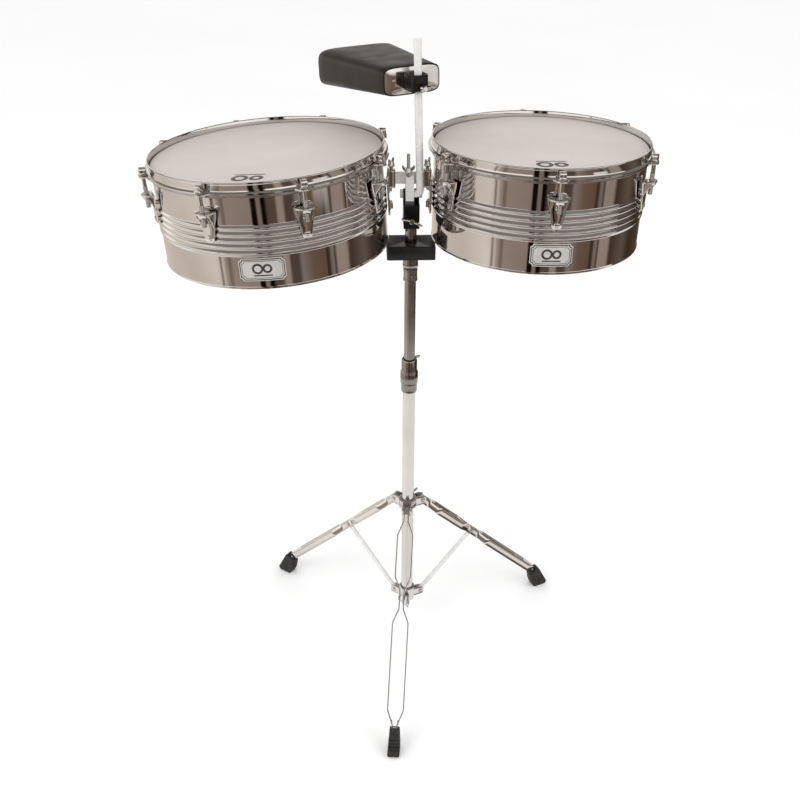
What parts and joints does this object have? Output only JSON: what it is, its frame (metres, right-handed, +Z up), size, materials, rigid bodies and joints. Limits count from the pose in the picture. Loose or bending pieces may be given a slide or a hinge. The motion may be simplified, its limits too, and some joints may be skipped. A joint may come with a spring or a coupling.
{
  "type": "timbales on a stand",
  "caption": "Two chrome timbale drums on a rail with a black cowbell, on a height-adjustable folding tripod stand.",
  "frame": {"origin": "middle of the bounding box at floor level", "axes": "+Z up; +X along the rail towards the smaller drum; +Y away from the player-facing side with the badges"},
  "size_m": [0.7788, 0.5618, 1.1488],
  "materials": {
    "bright_chrome": "polished",
    "dark_chrome": "polished, slightly dull",
    "zinc": "satin",
    "black_block": "satin",
    "black_plastic": "matt",
    "bell_paint": "satin powder coat",
    "foot_rubber": "matt, ribbed",
    "head_film": "hazy film",
    "badge_plate": "satin"
  },
  "bodies": {
    "stand_base": {"lower_tube": "bright_chrome", "strut_collar": "bright_chrome", "height_clamp": "dark_chrome"},
    "hub": {"hub": "bright_chrome"},
    "hub_screw": {"hub_wing_screw": "bright_chrome"},
    "mast": {"upper_tube": "dark_chrome", "memory_lock": "dark_chrome"},
    "height_screw": {"height_wing_screw": "bright_chrome"},
    "head": {"swivel_collar": "dark_chrome", "support_block": "black_block", "tilt_clamp": "black_block"},
    "tube_screw": {"tube_wing_screw": "bright_chrome"},
    "rail_body": {"rail": "bright_chrome", "rail_tongue": "bright_chrome"},
    "stud_nut": {"post_wing_nut": "bright_chrome"},
    "post_body": {"cowbell_post": "bright_chrome"},
    "bushing": {"clamp_bushing": "black_plastic"},
    "bell": {"cowbell_clamp": "black_plastic", "cowbell": "bell_paint"},
    "bell_screw": {"cowbell_wing_screw": "bright_chrome"},
    "leg_front": {"leg_front": "bright_chrome", "foot_front": "foot_rubber"},
    "strut_front": {"strut_front": "zinc"},
    "leg_right": {"leg_right": "bright_chrome", "foot_right": "foot_rubber"},
    "strut_right": {"strut_right": "zinc"},
    "leg_left": {"leg_left": "bright_chrome", "foot_left": "foot_rubber"},
    "strut_left": {"strut_left": "zinc"},
    "drum_left": {"shell_left": "bright_chrome", "hoop_left": "bright_chrome", "head_film_left": "head_film", "flesh_hoop_left": "zinc", "badge_left": "badge_plate", "hanger_left": "bright_chrome"},
    "hanger_left_screw": {"hanger_screw_left": "bright_chrome"},
    "tension_rod_left_1": {"rod_left_1": "bright_chrome"},
    "tension_rod_left_2": {"rod_left_2": "bright_chrome"},
    "tension_rod_left_3": {"rod_left_3": "bright_chrome"},
    "tension_rod_left_4": {"rod_left_4": "bright_chrome"},
    "tension_rod_left_5": {"rod_left_5": "bright_chrome"},
    "tension_rod_left_6": {"rod_left_6": "bright_chrome"},
    "tension_rod_left_7": {"rod_left_7": "bright_chrome"},
    "tension_rod_left_8": {"rod_left_8": "bright_chrome"},
    "drum_right": {"shell_right": "bright_chrome", "hoop_right": "bright_chrome", "head_film_right": "head_film", "flesh_hoop_right": "zinc", "badge_right": "badge_plate", "hanger_right": "bright_chrome"},
    "hanger_right_screw": {"hanger_screw_right": "bright_chrome"},
    "tension_rod_right_1": {"rod_right_1": "bright_chrome"},
    "tension_rod_right_2": {"rod_right_2": "bright_chrome"},
    "tension_rod_right_3": {"rod_right_3": "bright_chrome"},
    "tension_rod_right_4": {"rod_right_4": "bright_chrome"},
    "tension_rod_right_5": {"rod_right_5": "bright_chrome"},
    "tension_rod_right_6": {"rod_right_6": "bright_chrome"}
  },
  "joints": [
    {"name": "hub_slide", "type": "slide", "parent": "stand_base", "child": "hub", "axis": [0, 0, 1], "range_m": [0, 0.08935]},
    {"name": "leg_front_fold", "type": "hinge", "parent": "hub", "child": "leg_front", "pos_m": [0.01439, 0.0214, 0.3145], "axis": [0.9936, -0.1132, 0], "range_deg": [0, 36.4]},
    {"name": "strut_front_fold", "type": "hinge", "parent": "stand_base", "child": "strut_front", "pos_m": [0.01439, 0.0214, 0.089], "axis": [-0.9936, 0.1132, 0], "range_deg": [0, 36.4]},
    {"name": "leg_right_fold", "type": "hinge", "parent": "hub", "child": "leg_right", "pos_m": [0.04324, 0.06038, 0.3145], "axis": [-0.3987, 0.9171, 0], "range_deg": [0, 36.4]},
    {"name": "strut_right_fold", "type": "hinge", "parent": "stand_base", "child": "strut_right", "pos_m": [0.04324, 0.06038, 0.089], "axis": [0.3987, -0.9171, 0], "range_deg": [0, 36.4]},
    {"name": "leg_left_fold", "type": "hinge", "parent": "hub", "child": "leg_left", "pos_m": [-0.00495, 0.06587, 0.3145], "axis": [-0.5948, -0.8039, 0], "range_deg": [0, 36.4]},
    {"name": "strut_left_fold", "type": "hinge", "parent": "stand_base", "child": "strut_left", "pos_m": [-0.00495, 0.06587, 0.089], "axis": [0.5948, 0.8039, 0], "range_deg": [0, 36.4]},
    {"name": "height_slide", "type": "slide", "parent": "stand_base", "child": "mast", "axis": [0, 0, 1], "range_m": [-0.14, 0.08]},
    {"name": "head_swivel", "type": "hinge", "parent": "mast", "child": "head", "pos_m": [0.01756, 0.04922, 0.863], "axis": [0, 0, 1], "continuous": true},
    {"name": "rail_tilt", "type": "hinge", "parent": "head", "child": "rail_body", "pos_m": [0.01756, 0.05121, 0.913], "axis": [1, 0, 0], "range_deg": [-10, 10]},
    {"name": "left_drum_slide", "type": "slide", "parent": "rail_body", "child": "drum_left", "axis": [-1, 0, 0], "range_m": [0, 0.008]},
    {"name": "right_drum_slide", "type": "slide", "parent": "rail_body", "child": "drum_right", "axis": [1, 0, 0], "range_m": [0, 0.008]},
    {"name": "post_swing", "type": "hinge", "parent": "rail_body", "child": "post_body", "pos_m": [0.03056, 0.03328, 0.91872], "axis": [1, 0, 0], "range_deg": [-8, 30]},
    {"name": "bell_height", "type": "slide", "parent": "post_body", "child": "bushing", "axis": [-0.0314, 0.012, 0.9994], "range_m": [-0.01, 0.04]},
    {"name": "bell_turn", "type": "hinge", "parent": "bushing", "child": "bell", "pos_m": [0.02528, 0.03531, 1.08662], "axis": [-0.0314, 0.012, 0.9994], "range_deg": [-60, 60]},
    {"name": "hub_wing_screw_turn", "type": "hinge", "parent": "hub", "child": "hub_screw", "pos_m": [0.01997, 0.06056, 0.315], "axis": [0.2079, 0.9781, 0], "continuous": true},
    {"name": "height_wing_screw_turn", "type": "hinge", "parent": "stand_base", "child": "height_screw", "pos_m": [0.0193, 0.05906, 0.608], "axis": [0.1736, 0.9848, 0], "continuous": true},
    {"name": "tube_wing_screw_turn", "type": "hinge", "parent": "head", "child": "tube_screw", "pos_m": [0.01756, 0.03921, 0.879], "axis": [0, -1, 0], "continuous": true},
    {"name": "post_wing_nut_turn", "type": "hinge", "parent": "rail_body", "child": "stud_nut", "pos_m": [0.01216, 0.03336, 0.92552], "axis": [0, 0.012, 0.9999], "continuous": true},
    {"name": "cowbell_wing_screw_turn", "type": "hinge", "parent": "bell", "child": "bell_screw", "pos_m": [0.02873, 0.02719, 1.08182], "axis": [0.3777, -0.9257, 0.023], "continuous": true},
    {"name": "hanger_screw_left_turn", "type": "hinge", "parent": "drum_left", "child": "hanger_left_screw", "pos_m": [-0.01394, 0.04965, 0.94892], "axis": [0, 0.012, 0.9999], "continuous": true},
    {"name": "rod_left_1_turn", "type": "hinge", "parent": "drum_left", "child": "tension_rod_left_1", "pos_m": [-0.02664, 0.11522, 1.00004], "axis": [-0.0628, 0.012, 0.998], "continuous": true},
    {"name": "rod_left_2_turn", "type": "hinge", "parent": "drum_left", "child": "tension_rod_left_2", "pos_m": [-0.12464, 0.22229, 0.99259], "axis": [-0.0628, 0.012, 0.998], "continuous": true},
    {"name": "rod_left_3_turn", "type": "hinge", "parent": "drum_left", "child": "tension_rod_left_3", "pos_m": [-0.26956, 0.22852, 0.98339], "axis": [-0.0628, 0.012, 0.998], "continuous": true},
    {"name": "rod_left_4_turn", "type": "hinge", "parent": "drum_left", "child": "tension_rod_left_4", "pos_m": [-0.37651, 0.13026, 0.97785], "axis": [-0.0628, 0.012, 0.998], "continuous": true},
    {"name": "rod_left_5_turn", "type": "hinge", "parent": "drum_left", "child": "tension_rod_left_5", "pos_m": [-0.38283, -0.01494, 0.9792], "axis": [-0.0628, 0.012, 0.998], "continuous": true},
    {"name": "rod_left_6_turn", "type": "hinge", "parent": "drum_left", "child": "tension_rod_left_6", "pos_m": [-0.28484, -0.12202, 0.98665], "axis": [-0.0628, 0.012, 0.998], "continuous": true},
    {"name": "rod_left_7_turn", "type": "hinge", "parent": "drum_left", "child": "tension_rod_left_7", "pos_m": [-0.13992, -0.12825, 0.99584], "axis": [-0.0628, 0.012, 0.998], "continuous": true},
    {"name": "rod_left_8_turn", "type": "hinge", "parent": "drum_left", "child": "tension_rod_left_8", "pos_m": [-0.03297, -0.02998, 1.00139], "axis": [-0.0628, 0.012, 0.998], "continuous": true},
    {"name": "hanger_screw_right_turn", "type": "hinge", "parent": "drum_right", "child": "hanger_right_screw", "pos_m": [0.04231, 0.04965, 0.94892], "axis": [0, 0.012, 0.9999], "continuous": true},
    {"name": "rod_right_1_turn", "type": "hinge", "parent": "drum_right", "child": "tension_rod_right_1", "pos_m": [0.36903, 0.1402, 0.9993], "axis": [0.0094, 0.012, 0.9999], "continuous": true},
    {"name": "rod_right_2_turn", "type": "hinge", "parent": "drum_right", "child": "tension_rod_right_2", "pos_m": [0.21481, 0.22747, 0.9997], "axis": [0.0094, 0.012, 0.9999], "continuous": true},
    {"name": "rod_right_3_turn", "type": "hinge", "parent": "drum_right", "child": "tension_rod_right_3", "pos_m": [0.06214, 0.13755, 1.00222], "axis": [0.0094, 0.012, 0.9999], "continuous": true},
    {"name": "rod_right_4_turn", "type": "hinge", "parent": "drum_right", "child": "tension_rod_right_4", "pos_m": [0.06369, -0.03963, 1.00434], "axis": [0.0094, 0.012, 0.9999], "continuous": true},
    {"name": "rod_right_5_turn", "type": "hinge", "parent": "drum_right", "child": "tension_rod_right_5", "pos_m": [0.21791, -0.1269, 1.00394], "axis": [0.0094, 0.012, 0.9999], "continuous": true},
    {"name": "rod_right_6_turn", "type": "hinge", "parent": "drum_right", "child": "tension_rod_right_6", "pos_m": [0.37058, -0.03698, 1.00141], "axis": [0.0094, 0.012, 0.9999], "continuous": true}
  ],
  "couplings": [
    {"joint": "leg_front_fold", "follows": "hub_slide", "rad_per_m": 7.1102},
    {"joint": "strut_front_fold", "follows": "hub_slide", "rad_per_m": 7.1102},
    {"joint": "leg_right_fold", "follows": "hub_slide", "rad_per_m": 7.1102},
    {"joint": "strut_right_fold", "follows": "hub_slide", "rad_per_m": 7.1102},
    {"joint": "leg_left_fold", "follows": "hub_slide", "rad_per_m": 7.1102},
    {"joint": "strut_left_fold", "follows": "hub_slide", "rad_per_m": 7.1102}
  ]
}
